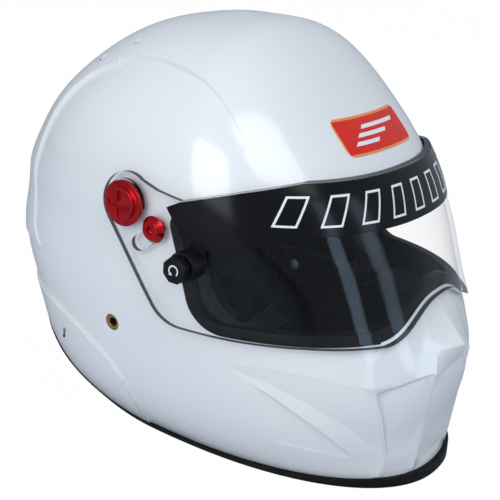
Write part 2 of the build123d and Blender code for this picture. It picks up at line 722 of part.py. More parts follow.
# Chin strap halves with their wall plates and rivets; the right half ends in an eye for the two rings
strap_start = strap_y - strap_width / 2
strap_plane = Plane.XZ.offset(-strap_start)
wall_line = [(strap_wall_x, strap_top), (strap_wall_x, strap_wall_low)]
ring_middle = sum(ring_levels.values()) / len(ring_levels)
eye_radius = ring_eye_radius + loop_wall
for side_name, sign in (("right", -1.0), ("left", 1.0)):
    bend_points = strap_bend + strap_free_end if sign > 0 else strap_bend
    with BuildPart() as chin_strap:
        with BuildSketch(strap_plane):
            with BuildLine() as strap_line:
                Line(*[(sign * x, z) for x, z in wall_line])
                Spline(*[(sign * x, z) for x, z in wall_line[1:] + bend_points], tangents=[(0.0, -1.0), (-sign, 0.0)])
            trace(strap_line.line, line_width=strap_thickness)
            if sign < 0:
                for ring_level in ring_levels.values():
                    with Locations((sign * ring_bar_x, ring_level)):
                        Circle(eye_radius)
                with Locations((sign * ring_bar_x, ring_middle)):
                    Rectangle(2 * eye_radius, ring_levels["upper"] - ring_levels["lower"])
                for ring_level in ring_levels.values():
                    with Locations((sign * ring_bar_x, ring_level)):
                        Circle(ring_eye_radius, mode=Mode.SUBTRACT)
        extrude(amount=-strap_width)
        with BuildSketch(Plane.YZ.offset(sign * (strap_wall_x - strap_thickness))):
            with Locations((strap_y, rivet_z)):
                Circle(rivet_radius)
        extrude(amount=sign * 2 * strap_thickness, mode=Mode.SUBTRACT)
        if sign > 0:
            with BuildSketch(Plane.XY.offset(strap_free_end[-1][1] - strap_thickness)):
                with Locations((snap_x, strap_y)):
                    Circle(snap_stud_radius)
            extrude(amount=2 * strap_thickness, mode=Mode.SUBTRACT)
    chin_strap.part.label = "chin_strap_" + side_name
    export_step(chin_strap.part, "parts/chin_strap_" + side_name + ".step")
    if sign > 0:
        with BuildPart() as strap_snap:
            with BuildSketch(Plane.XY.offset(strap_free_end[-1][1] - strap_thickness / 2 - snap_disc_height)):
                with Locations((snap_x, strap_y)):
                    Circle(snap_radius)
            extrude(amount=2 * snap_disc_height + strap_thickness)
            with BuildSketch(Plane.XY.offset(strap_free_end[-1][1] + strap_thickness / 2)):
                with Locations((snap_x, strap_y)):
                    Circle(snap_stud_radius)
            extrude(amount=snap_disc_height + snap_stud_height)
            add(chin_strap.part, mode=Mode.SUBTRACT)
        strap_snap.part.label = "strap_snap"
        export_step(strap_snap.part, "parts/strap_snap.step")

    with BuildPart() as strap_plate:
        with BuildSketch(Plane.YZ.offset(sign * plate_face)):
            with Locations((strap_y, (plate_low + plate_high) / 2)):
                Rectangle(plate_width, plate_high - plate_low)
        extrude(amount=sign * overrun)
        add(forms["liner_outer"], mode=Mode.INTERSECT)
        with BuildSketch(Plane.YZ.offset(sign * plate_face)):
            with Locations((strap_y, rivet_z)):
                Circle(rivet_radius)
        extrude(amount=sign * rivet_reach, mode=Mode.SUBTRACT)
    strap_plate.part.label = "strap_plate_" + side_name
    export_step(strap_plate.part, "parts/strap_plate_" + side_name + ".step")

    with BuildPart() as strap_rivet:
        head_face = strap_wall_x - strap_thickness / 2
        with BuildSketch(Plane.YZ.offset(sign * head_face)):
            with Locations((strap_y, rivet_z)):
                Circle(rivet_head_radius)
        extrude(amount=-sign * rivet_head_height)
        with BuildSketch(Plane.YZ.offset(sign * head_face)):
            with Locations((strap_y, rivet_z)):
                Circle(rivet_radius)
        extrude(amount=sign * (plate_face + rivet_reach - head_face))
    strap_rivet.part.label = "strap_rivet_" + side_name
    export_step(strap_rivet.part, "parts/strap_rivet_" + side_name + ".step")

# The two D-rings, each with its straight bar in one eye of the right strap
for ring_name, ring_level in ring_levels.items():
    bar_x = -ring_bar_x
    side_x = bar_x + ring_corner
    bend_x = bar_x + ring_straight
    low_y = strap_y - ring_half_width
    high_y = strap_y + ring_half_width
    with BuildPart() as d_ring:
        with BuildLine(Plane.XY.offset(ring_level)) as ring_path:
            bar = Line((bar_x, low_y + ring_corner), (bar_x, high_y - ring_corner))
            RadiusArc(bar @ 1, (side_x, high_y), ring_corner)
            side = Line((side_x, high_y), (bend_x, high_y))
            ThreePointArc(side @ 1, (bend_x + ring_half_width, strap_y), (bend_x, low_y))
            back = Line((bend_x, low_y), (side_x, low_y))
            RadiusArc(back @ 1, bar @ 0, ring_corner)
        with BuildSketch(Plane(origin=(bar_x, strap_y, ring_level), z_dir=(0.0, 1.0, 0.0))):
            Circle(ring_wire_radius)
        sweep(path=ring_path.wires()[0], transition=Transition.RIGHT)
    d_ring.part.label = "d_ring_" + ring_name
    export_step(d_ring.part, "parts/d_ring_" + ring_name + ".step")
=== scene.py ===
# %% [markdown]
# # A full-face auto racing helmet
# The solids of the helmet come packed from CAD, and this script dresses them: paint, rubber, cloth,
# anodised metal and a clear shield. Hard parts keep their solids, because those are already exact, or get
# a copy with rounded edges. Pads and webbing get new meshes, because cloth is never as crisp as a solid.
# The wearer faces -Y, the wearer's right is -X, and lengths are in metres.
# %% Load the frame
import bmesh
import bpy
import math
from mathutils import Matrix, Vector


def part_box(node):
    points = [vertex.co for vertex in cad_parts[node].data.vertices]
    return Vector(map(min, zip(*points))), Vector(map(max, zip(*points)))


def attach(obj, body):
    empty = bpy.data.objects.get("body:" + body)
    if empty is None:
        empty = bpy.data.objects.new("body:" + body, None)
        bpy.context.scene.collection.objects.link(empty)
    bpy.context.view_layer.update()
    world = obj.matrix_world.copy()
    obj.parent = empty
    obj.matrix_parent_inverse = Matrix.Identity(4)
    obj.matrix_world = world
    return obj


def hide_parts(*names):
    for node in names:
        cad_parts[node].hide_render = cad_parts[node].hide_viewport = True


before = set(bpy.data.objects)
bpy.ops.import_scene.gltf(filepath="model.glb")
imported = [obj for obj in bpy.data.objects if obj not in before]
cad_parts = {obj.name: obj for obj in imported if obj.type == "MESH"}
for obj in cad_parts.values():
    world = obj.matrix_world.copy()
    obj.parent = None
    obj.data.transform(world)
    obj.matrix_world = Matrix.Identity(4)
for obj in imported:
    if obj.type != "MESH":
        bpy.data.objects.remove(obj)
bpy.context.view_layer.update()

sides = {"right": -1.0, "left": 1.0}

# %% [markdown]
# ## Camera
# The picture is taken from the wearer's right, a little in front and about 20 degrees up, from close by,
# and it leans by a few degrees. A close camera makes the near side look larger, so the distance matters
# as much as the angle. The camera's axes are worked out and given to it as a matrix.
# %% Camera
camera_turn = math.radians(-57.3)
camera_lift = math.radians(20.04)
camera_lean = math.radians(4.71)
camera_reach = 0.730
camera_aim = Vector((0.0, -0.0021, 0.114))
back = Vector((
    math.sin(camera_turn) * math.cos(camera_lift),
    -math.cos(camera_turn) * math.cos(camera_lift),
    math.sin(camera_lift),
))
level_right = (-back).cross(Vector((0.0, 0.0, 1.0))).normalized()
level_up = level_right.cross(-back)
right = level_right * math.cos(camera_lean) + level_up * math.sin(camera_lean)
up = -level_right * math.sin(camera_lean) + level_up * math.cos(camera_lean)
camera_data = bpy.data.cameras.new("camera")
camera_data.sensor_width = 36.0
camera_data.lens = 72.3
camera_data.clip_start = 0.01
camera = bpy.data.objects.new("camera", camera_data)
bpy.context.scene.collection.objects.link(camera)
axes = Matrix((right, up, back)).transposed().to_4x4()
camera.matrix_world = Matrix.Translation(camera_aim + back * camera_reach) @ axes
bpy.context.scene.camera = camera
bpy.context.scene.view_settings.view_transform = "Standard"
print("camera stands at", [round(v, 3) for v in camera.matrix_world.translation])

# %% [markdown]
# ## Studio
# A white helmet on white needs soft light from above and grey-blue light from the sides, so that its
# creases show. Two tall panels stand in front: only reflections see them, and they draw the bluish
# streaks in the shield. Two weaker panels, which no reflection sees, keep the far side and the back from
# going dark.
# %% Studio lights
panel_white = (0.95, 0.975, 1.0)
streak_blue = (0.6, 0.79, 1.0)
low_aim = (0.0, 0.0, 0.12)
high_aim = (0.0, 0.0, 0.15)
shield_aim = (0.0, -0.05, 0.15)


def area_light(name, place, aim, width, height, power, colour):
    data = bpy.data.lights.new(name, "AREA")
    data.shape = "RECTANGLE"
    data.size = width
    data.size_y = height
    data.energy = power
    data.color = colour
    lamp = bpy.data.objects.new(name, data)
    bpy.context.scene.collection.objects.link(lamp)
    lamp.location = place
    lamp.rotation_euler = (Vector(aim) - Vector(place)).to_track_quat("-Z", "Y").to_euler()
    return lamp


area_light("top_panel", (-0.5, -0.95, 1.4), high_aim, 1.1, 0.9, 8.4, panel_white)
area_light("near_panel", (-1.7, 0.0, 0.75), low_aim, 0.9, 1.3, 12.5, panel_white)
streak_panels = (
    area_light("front_panel", (-0.35, -1.9, 0.55), shield_aim, 0.30, 1.3, 4.0, streak_blue),
    area_light("far_panel", (0.55, -1.8, 0.6), shield_aim, 0.36, 1.2, 3.2, streak_blue),
)
fill_panels = (
    area_light("back_panel", (1.5, 1.0, 0.9), low_aim, 1.0, 1.2, 7.0, panel_white),
    area_light("left_panel", (1.7, -0.5, 0.8), low_aim, 0.8, 1.2, 4.0, panel_white),
)
for lamp in streak_panels:
    lamp.visible_diffuse = False
for lamp in fill_panels:
    lamp.visible_glossy = False
print("lights placed")

# %% [markdown]
# The sky lights the helmet with a pale blue, but the camera itself sees plain white behind it. A Light
# Path node tells the camera's own rays from all others.
# %% Sky
world = bpy.data.worlds.new("studio")
bpy.context.scene.world = world
world.use_nodes = True
sky = world.node_tree
sky.nodes.clear()
sky_path = sky.nodes.new("ShaderNodeLightPath")
sky_light = sky.nodes.new("ShaderNodeBackground")
sky_light.inputs["Color"].default_value = (0.80, 0.885, 1.0, 1.0)
sky_light.inputs["Strength"].default_value = 0.47
sky_seen = sky.nodes.new("ShaderNodeBackground")
sky_seen.inputs["Color"].default_value = (1.0, 1.0, 1.0, 1.0)
sky_seen.inputs["Strength"].default_value = 1.0
sky_mix = sky.nodes.new("ShaderNodeMixShader")
sky_out = sky.nodes.new("ShaderNodeOutputWorld")
sky.links.new(sky_path.outputs["Is Camera Ray"], sky_mix.inputs["Fac"])
sky.links.new(sky_light.outputs["Background"], sky_mix.inputs[1])
sky.links.new(sky_seen.outputs["Background"], sky_mix.inputs[2])
sky.links.new(sky_mix.outputs["Shader"], sky_out.inputs["Surface"])
print("sky ready")

# %% [markdown]
# The floor bounces grey light up to the helmet and takes a little of its shadow. To the camera it is
# nearly all glow, so that it runs into the white sky. It lies a hair below zero, where the trim rests.
# %% Floor
floor_size = 6.0
floor_height = -0.0002
glow_seen = 0.99
bpy.ops.mesh.primitive_plane_add(size=floor_size, location=(0.0, 0.0, floor_height))
floor = bpy.context.active_object
floor.name = "floor"
floor_paint = bpy.data.materials.new("pale_floor")
floor_paint.use_nodes = True
floor_nodes = floor_paint.node_tree
floor_base = floor_nodes.nodes["Principled BSDF"]
floor_base.inputs["Base Color"].default_value = (0.46, 0.49, 0.53, 1.0)
floor_base.inputs["Roughness"].default_value = 0.8
floor_glow = floor_nodes.nodes.new("ShaderNodeEmission")
floor_glow.inputs["Color"].default_value = (1.0, 1.0, 1.0, 1.0)
floor_path = floor_nodes.nodes.new("ShaderNodeLightPath")
floor_share = floor_nodes.nodes.new("ShaderNodeMath")
floor_share.operation = "MULTIPLY"
floor_share.inputs[1].default_value = glow_seen
floor_mix = floor_nodes.nodes.new("ShaderNodeMixShader")
floor_out = floor_nodes.nodes["Material Output"]
floor_nodes.links.new(floor_path.outputs["Is Camera Ray"], floor_share.inputs[0])
floor_nodes.links.new(floor_share.outputs["Value"], floor_mix.inputs["Fac"])
floor_nodes.links.new(floor_base.outputs["BSDF"], floor_mix.inputs[1])
floor_nodes.links.new(floor_glow.outputs["Emission"], floor_mix.inputs[2])
floor_nodes.links.new(floor_mix.outputs["Shader"], floor_out.inputs["Surface"])
floor.data.materials.append(floor_paint)
print("studio ready")

# %% [markdown]
# ## Finishes
# Every finish starts as one Principled shader. A noise in the object's own coordinates varies its colour
# and roughness a little, and a finer one gives its grain through a Bump node. A Bevel node in front of the
# bump rounds hard edges in the shading, so that the shell's creases look moulded and not cut.
# %% A finish and its patterns
def finish(name, colour, roughness, metallic=0.0, coat=0.0, coat_roughness=0.03, sheen=0.0, specular=0.5):
    material = bpy.data.materials.new(name)
    material.use_nodes = True
    base = material.node_tree.nodes["Principled BSDF"]
    base.inputs["Base Color"].default_value = (*colour, 1.0)
    base.inputs["Roughness"].default_value = roughness
    base.inputs["Metallic"].default_value = metallic
    base.inputs["Coat Weight"].default_value = coat
    base.inputs["Coat Roughness"].default_value = coat_roughness
    base.inputs["Sheen Weight"].default_value = sheen
    base.inputs["Specular IOR Level"].default_value = specular
    return material


def noise(material, scale, detail=2.0):
    tree = material.node_tree
    place = tree.nodes.new("ShaderNodeTexCoord")
    pattern = tree.nodes.new("ShaderNodeTexNoise")
    pattern.inputs["Scale"].default_value = scale
    pattern.inputs["Detail"].default_value = detail
    tree.links.new(place.outputs["Object"], pattern.inputs["Vector"])
    return pattern.outputs["Fac"]


def cells(material, scale):
    tree = material.node_tree
    place = tree.nodes.new("ShaderNodeTexCoord")
    pattern = tree.nodes.new("ShaderNodeTexVoronoi")
    pattern.inputs["Scale"].default_value = scale
    tree.links.new(place.outputs["Object"], pattern.inputs["Vector"])
    return pattern.outputs["Distance"]


# %% What a pattern changes
def vary_colour(material, pattern, dark, light, low=0.35, high=0.65):
    tree = material.node_tree
    ramp = tree.nodes.new("ShaderNodeValToRGB")
    ramp.color_ramp.elements[0].position = low
    ramp.color_ramp.elements[0].color = (*dark, 1.0)
    ramp.color_ramp.elements[1].position = high
    ramp.color_ramp.elements[1].color = (*light, 1.0)
    tree.links.new(pattern, ramp.inputs["Fac"])
    tree.links.new(ramp.outputs["Color"], tree.nodes["Principled BSDF"].inputs["Base Color"])


def vary_roughness(material, pattern, low, high):
    tree = material.node_tree
    span = tree.nodes.new("ShaderNodeMapRange")
    span.inputs["To Min"].default_value = low
    span.inputs["To Max"].default_value = high
    tree.links.new(pattern, span.inputs["Value"])
    tree.links.new(span.outputs["Result"], tree.nodes["Principled BSDF"].inputs["Roughness"])


def grain(material, pattern, strength, depth, edge_radius=0.0):
    tree = material.node_tree
    bump = tree.nodes.new("ShaderNodeBump")
    bump.inputs["Strength"].default_value = strength
    bump.inputs["Distance"].default_value = depth
    tree.links.new(pattern, bump.inputs["Height"])
    if edge_radius:
        rounding = tree.nodes.new("ShaderNodeBevel")
        rounding.samples = 8
        rounding.inputs["Radius"].default_value = edge_radius
        tree.links.new(rounding.outputs["Normal"], bump.inputs["Normal"])
    tree.links.new(bump.outputs["Normal"], tree.nodes["Principled BSDF"].inputs["Normal"])


def maths(tree, operation, *values):
    """A Math node over numbers and sockets, and its result."""
    node = tree.nodes.new("ShaderNodeMath")
    node.operation = operation
    for socket, value in zip(node.inputs, values):
        if isinstance(value, float):
            socket.default_value = value
        else:
            tree.links.new(value, socket)
    return node.outputs["Value"]


print("finish helpers ready")

# %% [markdown]
# ## Meshes by hand
# Most pieces start as a copy of their solid. An operator acts on all that is selected, so one piece is
# picked before each. A solid's mesh is loose triangles with shading normals of their own: both are undone
# on a copy whose shape is going to change.
# %% Mesh helpers
merge_reach = 0.00002


def pick(piece):
    bpy.ops.object.select_all(action="DESELECT")
    piece.select_set(True)
    bpy.context.view_layer.objects.active = piece


def add_piece(name, mesh):
    piece = bpy.data.objects.new(name, mesh)
    bpy.context.scene.collection.objects.link(piece)
    pick(piece)
    return piece


def solid_copy(node_name, piece_name, material):
    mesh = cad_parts[node_name].data.copy()
    mesh.materials.clear()
    mesh.materials.append(material)
    return add_piece(piece_name, mesh)


def forget_normals(piece):
    if piece.data.has_custom_normals:
        bpy.ops.mesh.customdata_custom_splitnormals_clear()


def turn_faces_out(piece):
    pick(piece)
    bpy.ops.object.mode_set(mode="EDIT")
    bpy.ops.mesh.select_all(action="SELECT")
    bpy.ops.mesh.normals_make_consistent(inside=False)
    bpy.ops.object.mode_set(mode="OBJECT")


def dress(node_name, material):
    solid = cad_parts[node_name]
    if solid.data.materials:
        solid.data.materials[0] = material
    else:
        solid.data.materials.append(material)


# %% [markdown]
# Rays find the helmet's outer surface. They start well outside it and run level towards an upright line
# near its middle.
# %% Rays from outside
ray_centre = Vector((0.0, -0.03, 0.0))
ray_start = 0.3


def outward_at(angle):
    """The level direction at an angle from the front, in radians, towards the wearer's left."""
    return Vector((math.sin(angle), -math.cos(angle), 0.0))


def surface_hit(solid, outward, height):
    from_place = ray_centre + outward * ray_start + Vector((0.0, 0.0, height))
    hit, place, normal, face = solid.ray_cast(from_place, -outward)
    return place, normal


print("mesh helpers ready")

# %% [markdown]
# ## Shell paint
# The shell is white gelcoat under a clear coat. It is never perfectly even: the white drifts a little
# from warm to cool over a hand's width, and the clear coat has a faint orange-peel.
# %% White shell paint
shell_paint = finish("white_gelcoat", (0.86, 0.87, 0.885), 0.32, coat=1.0, coat_roughness=0.1)
vary_colour(shell_paint, noise(shell_paint, 7.0), (0.845, 0.86, 0.88), (0.87, 0.878, 0.89))
vary_roughness(shell_paint, noise(shell_paint, 40.0), 0.26, 0.36)
grain(shell_paint, noise(shell_paint, 420.0, 1.0), 0.02, 0.0004, edge_radius=0.0013)
print("shell paint mixed")

# %% [markdown]
# ## Chin facets
# The chin of the moulded shell has sharp facets: a scoop on each side of the keel, a sunk side facet over
# a ridge, and a lower facet under it. They are only one to three millimetres deep, so they are carved into
# a copy of the shell. Each cutter is a curved bar. Rays towards the helmet's middle find the paint under
# the lines of its underside, and each point lies its own depth below the paint. A negative depth lies
# above it, which lets a facet fade out. A Boolean takes the bars away.
# %% Cutters for the facets
shell_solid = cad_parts["outer_shell"]


def paint_point(degrees, height, depth):
    outward = outward_at(math.radians(degrees))
    place, normal = surface_hit(shell_solid, outward, height)
    return place - outward * depth


def along(line, share):
    """The point of a line of (degrees, height, depth) points at a share of the way from its first to its last."""
    reach = share * (len(line) - 1)
    first = min(int(reach), len(line) - 2)
    return [a + (b - a) * (reach - first) for a, b in zip(line[first], line[first + 1])]


def facet_cutter(lines, steps=24, rows=7, lift=0.008):
    """A bar on each side of the helmet, whose underside passes through the lines and whose top lies clear of the paint."""
    vertices = []
    faces = []
    spans = rows * (len(lines) - 1)
    ring = 2 * (spans + 1)
    for sign in sides.values():
        first = len(vertices)
        for step in range(steps + 1):
            across = [along(line, step / steps) for line in lines]
            points = [along(across, row / spans) for row in range(spans + 1)]
            vertices += [paint_point(sign * degrees, height, depth) for degrees, height, depth in points]
            vertices += [paint_point(sign * degrees, height, -lift) for degrees, height, depth in reversed(points)]
        for step in range(steps):
            here = first + ring * step
            for corner in range(ring):
                after = (corner + 1) % ring
                faces.append((here + corner, here + after, here + ring + after, here + ring + corner))
        for end, flip in ((first, 1), (first + ring * steps, -1)):
            for row in range(spans):
                cap = (end + row, end + ring - 1 - row, end + ring - 2 - row, end + row + 1)
                faces.append(cap[::flip])
    mesh = bpy.data.meshes.new("facet_cutter")
    mesh.from_pydata(vertices, [], faces)
    cutter = add_piece("facet_cutter", mesh)
    bpy.ops.object.mode_set(mode="EDIT")
    bpy.ops.mesh.select_all(action="SELECT")
    bpy.ops.mesh.quads_convert_to_tris()
    bpy.ops.mesh.normals_make_consistent(inside=False)
    bpy.ops.object.mode_set(mode="OBJECT")
    return cutter


# %% Where the facets lie
# Each point is (degrees from the front, height, depth), from the end near the ear to the end near the keel
scoop = (
    [(30.7, 0.0773, 0.0027), (23.4, 0.0795, 0.0021), (16.6, 0.0810, 0.0012), (11.8, 0.0820, 0.0003)],
    [(22.1, 0.0260, 0.0004), (17.7, 0.0248, 0.0003), (14.0, 0.0240, 0.0002), (11.0, 0.0230, 0.0001)],
)
lower_facet = (
    [
        (67.7, 0.0793, -0.0010),
        (59.1, 0.0707, 0.0013),
        (51.4, 0.0605, 0.0020),
        (44.1, 0.0493, 0.0020),
        (33.6, 0.0283, 0.0008),
    ],
    [
        (77.0, 0.0352, -0.0012),
        (64.3, 0.0376, -0.0004),
        (54.7, 0.0350, 0.0007),
        (44.0, 0.0308, 0.0008),
        (35.0, 0.0268, 0.0003),
    ],
)
side_facet = (
    [
        (72.0, 0.0850, 0.0001),
        (62.0, 0.0890, 0.0001),
        (52.0, 0.0875, 0.0001),
        (42.0, 0.0835, 0.0001),
        (31.4, 0.0777, 0.0001),
    ],
    [
        (71.0, 0.0837, 0.0002),
        (59.4, 0.0785, 0.0012),
        (47.9, 0.0674, 0.0021),
        (36.0, 0.0509, 0.0024),
        (24.2, 0.0290, 0.0003),
    ],
    [
        (69.6, 0.0819, 0.0001),
        (59.9, 0.0717, 0.0001),
        (52.2, 0.0615, 0.0001),
        (44.9, 0.0503, 0.0001),
        (34.0, 0.0290, 0.0001),
    ],
)
print("facets drawn")

# %% [markdown]
# The copy's triangles are joined first, because a Boolean needs a closed mesh. Only corners that are the
# same point are merged: a wider reach would close the shell's thinnest triangles.
# %% Carve the chin
same_point = 0.0000001
facet_crease = math.radians(14.0)
carved_shell = solid_copy("outer_shell", "painted_shell", shell_paint)
forget_normals(carved_shell)
joined = bmesh.new()
joined.from_mesh(carved_shell.data)
bmesh.ops.remove_doubles(joined, verts=joined.verts, dist=same_point)
joined.to_mesh(carved_shell.data)
joined.free()
for lines in (scoop, lower_facet, side_facet):
    cutter = facet_cutter(lines)
    pick(carved_shell)
    carving = carved_shell.modifiers.new("carving", "BOOLEAN")
    carving.operation = "DIFFERENCE"
    carving.solver = "EXACT"
    carving.object = cutter
    bpy.ops.object.modifier_apply(modifier="carving")
    bpy.data.objects.remove(cutter)
    print("carved,", len(carved_shell.data.polygons), "faces")
bpy.ops.object.shade_smooth_by_angle(angle=facet_crease)

# %% [markdown]
# The inside of the shell and the cut round the eyeport are black. Inner faces look towards the middle of
# the shell, and the faces of the cut look sideways.
# %% Black edging of the shell
inward_look = -0.6
sideways_look = 0.3
port_margin = 0.004
shell_middle = Vector((0.0, 0.0, 0.14))
port_low, port_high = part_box("eyeport_gasket")
edging = finish("black_edging", (0.004, 0.004, 0.005), 0.5, specular=0.14)
vary_roughness(edging, noise(edging, 200.0), 0.42, 0.6)
carved_shell.data.materials.append(edging)
for face in carved_shell.data.polygons:
    outward = face.center - ray_centre
    outward.z = 0.0
    inner = face.normal.dot((face.center - shell_middle).normalized()) < inward_look
    at_port_height = port_low.z - port_margin < face.center.z < port_high.z + port_margin
    near_port = at_port_height and face.center.y < port_high.y + port_margin
    if inner or near_port and face.normal.dot(outward.normalized()) < sideways_look:
        face.material_index = 1
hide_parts("outer_shell")
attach(carved_shell, "helmet")
print("carved shell has", len(carved_shell.data.polygons), "faces")

# %% [markdown]
# ## Rubber and foam
# Edge trim and gasket are black rubber with a satin skin. The liner is black bead foam, whose beads are
# Voronoi cells about three millimetres wide.
# %% Rubber and foam
trim_rubber = finish("black_rubber", (0.004, 0.004, 0.005), 0.5, specular=0.14)
vary_roughness(trim_rubber, noise(trim_rubber, 90.0), 0.38, 0.6)
grain(trim_rubber, noise(trim_rubber, 900.0, 3.0), 0.15, 0.0003, edge_radius=0.0012)
dress("rim_trim", trim_rubber)
dress("eyeport_gasket", trim_rubber)
bead_foam = finish("black_bead_foam", (0.02, 0.02, 0.022), 0.85)
vary_colour(bead_foam, noise(bead_foam, 120.0), (0.014, 0.014, 0.015), (0.03, 0.03, 0.033))
grain(bead_foam, cells(bead_foam, 330.0), 0.6, 0.0008)
dress("impact_liner", bead_foam)
dress("chin_bar_liner", bead_foam)
print("rubber and foam dressed")

# %% [markdown]
# ## Screws and small metal
# The screws are turned aluminium heads, dyed red. Their edges are broken with a small round, which catches
# the light, so each solid is copied, its flat triangles are joined and its edges bevelled.
# %% Rounded copies of hard solids
flat_enough = math.radians(0.4)
edge_angle = math.radians(35.0)
smooth_angle = math.radians(38.0)


def rounded_copy(node_name, piece_name, width, material, body, segments=3):
    piece = solid_copy(node_name, piece_name, material)
    forget_normals(piece)
    bpy.ops.object.mode_set(mode="EDIT")
    bpy.ops.mesh.select_all(action="SELECT")
    bpy.ops.mesh.remove_doubles(threshold=merge_reach)
    bpy.ops.mesh.dissolve_limited(angle_limit=flat_enough)
    bpy.ops.object.mode_set(mode="OBJECT")
    rounding = piece.modifiers.new("rounding", "BEVEL")
    rounding.width = width
    rounding.segments = segments
    rounding.limit_method = "ANGLE"
    rounding.angle_limit = edge_angle
    rounding.use_clamp_overlap = True
    bpy.ops.object.modifier_apply(modifier="rounding")
    bpy.ops.object.shade_smooth_by_angle(angle=smooth_angle)
    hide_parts(node_name)
    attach(piece, body)
    print(piece_name, len(piece.data.polygons), "faces")


# %% Metal finishes
red_anodised = finish("red_anodised", (0.55, 0.006, 0.012), 0.22, metallic=0.9, coat=0.25, coat_roughness=0.08)
vary_colour(red_anodised, noise(red_anodised, 160.0), (0.45, 0.004, 0.009), (0.62, 0.008, 0.016))
vary_roughness(red_anodised, noise(red_anodised, 500.0, 3.0), 0.18, 0.32)
grain(red_anodised, noise(red_anodised, 1400.0), 0.05, 0.0001)
steel = finish("plain_steel", (0.52, 0.52, 0.53), 0.34, metallic=1.0)
vary_roughness(steel, noise(steel, 600.0, 3.0), 0.26, 0.45)
grain(steel, noise(steel, 1800.0), 0.08, 0.0001)
brass = finish("dull_brass", (0.42, 0.27, 0.11), 0.42, metallic=1.0)
vary_roughness(brass, noise(brass, 500.0, 3.0), 0.32, 0.55)
knob_black = finish("black_anodised", (0.004, 0.004, 0.005), 0.4, specular=0.22)
vary_roughness(knob_black, noise(knob_black, 300.0), 0.35, 0.48)
grain(knob_black, noise(knob_black, 1500.0, 2.0), 0.06, 0.0001)
print("metals mixed")

# %% Screws, posts, inserts and rings
large_round = 0.0006
medium_round = 0.0004
small_round = 0.0003
for side in sides:
    rounded_copy("pivot_screw_" + side, "pivot_screw_head_" + side, large_round, red_anodised, "helmet")
    rounded_copy("stop_screw_" + side, "stop_screw_head_" + side, medium_round, red_anodised, "helmet")
    base_node = "tear_off_post_base_" + side
    knob_node = "tear_off_post_knob_" + side
    rounded_copy(base_node, "post_base_" + side, large_round, knob_black, "shield_assembly")
    rounded_copy(knob_node, "post_knob_" + side, large_round, knob_black, "post_knob_" + side)
    rounded_copy("restraint_anchor_" + side, "anchor_insert_" + side, small_round, brass, "helmet")
    dress("pivot_washer_" + side, knob_black)
    dress("pivot_nut_" + side, steel)
    dress("stop_nut_" + side, steel)
    dress("strap_plate_" + side, steel)
    rounded_copy("strap_rivet_" + side, "rivet_head_" + side, medium_round, steel, "helmet")
dress("d_ring_lower", steel)
dress("d_ring_upper", steel)
rounded_copy("strap_snap", "snap_stud", small_round, steel, "helmet")

# %% [markdown]
# ## Clear shield
# Polycarbonate three millimetres thick. Its faces only reflect a little, more at a slant, which an alpha
# from a Layer Weight node gives on one Principled shader. A Fresnel node would haze it, because it counts
# the inner face as seen from inside the plastic. A clear cut edge looks dark, because light leaves it
# sideways, and here that dark is painted shade: the faces that don't look along the helmet's radius get a dark,
# nearly opaque material.
# %% Clear sheet and the painted shade of its cut edge
slant_power = 4.5
mirror_at_slant = 0.45
mirror_head_on = 0.012
clear_sheet = finish("clear_polycarbonate", (0.95, 0.97, 1.0), 0.02, metallic=1.0)
sheet_nodes = clear_sheet.node_tree
slant = sheet_nodes.nodes.new("ShaderNodeLayerWeight")
slant.inputs["Blend"].default_value = 0.5
steep = maths(sheet_nodes, "POWER", slant.outputs["Facing"], slant_power)
mirror_share = maths(sheet_nodes, "MULTIPLY_ADD", steep, mirror_at_slant, mirror_head_on)
sheet_nodes.links.new(mirror_share, sheet_nodes.nodes["Principled BSDF"].inputs["Alpha"])
# Painted shade: a dark, nearly opaque colour on the clear sheet's cut edge, where the real plastic is clear and
# only looks dark.
cut_edge_painted_shade = finish("shield_edge_painted_shade", (0.008, 0.010, 0.015), 0.25, specular=0.2)
cut_edge_painted_shade.node_tree.nodes["Principled BSDF"].inputs["Alpha"].default_value = 0.9
print("clear sheet mixed")

# %% Clear shield
shield_axis = Vector((0.0, -0.010, 0.0))
upright_share = 0.5
sheet_look = 0.62
clear_shield = solid_copy("shield", "clear_shield", clear_sheet)
clear_shield.data.materials.append(cut_edge_painted_shade)
# Sheet faces stay clear; edge faces get the painted shade.
for face in clear_shield.data.polygons:
    outward = face.center - shield_axis
    outward.z = 0.0
    lean = face.normal.copy()
    lean.z *= upright_share
    face.material_index = 0 if abs(lean.dot(outward.normalized())) > sheet_look else 1
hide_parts("shield")
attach(clear_shield, "shield_assembly")
edge_faces = sum(1 for face in clear_shield.data.polygons if face.material_index)
print("shield has", edge_faces, "edge triangles of", len(clear_shield.data.polygons))

# %% [markdown]
# ## Sun strip and its marks
# A gloss black film along the shield's top. The marks on it are plain slanted frames, each cut from a
# plane. A ray from outside towards the helmet's middle finds the film under each of its points, and a
# Solidify modifier gives it a hair of thickness.
# %% Film and print
strip_film = finish("black_film", (0.003, 0.003, 0.004), 0.2, specular=0.22)
vary_roughness(strip_film, noise(strip_film, 30.0), 0.13, 0.2)
dress("sun_strip", strip_film)
mark_white = finish("white_print", (0.86, 0.87, 0.88), 0.35)
vary_roughness(mark_white, noise(mark_white, 200.0), 0.3, 0.42)
print("film and print mixed")

# %% A mark pressed onto a curved face
mark_radius = 0.1
print_gap = 0.00004
print_thickness = 0.00015


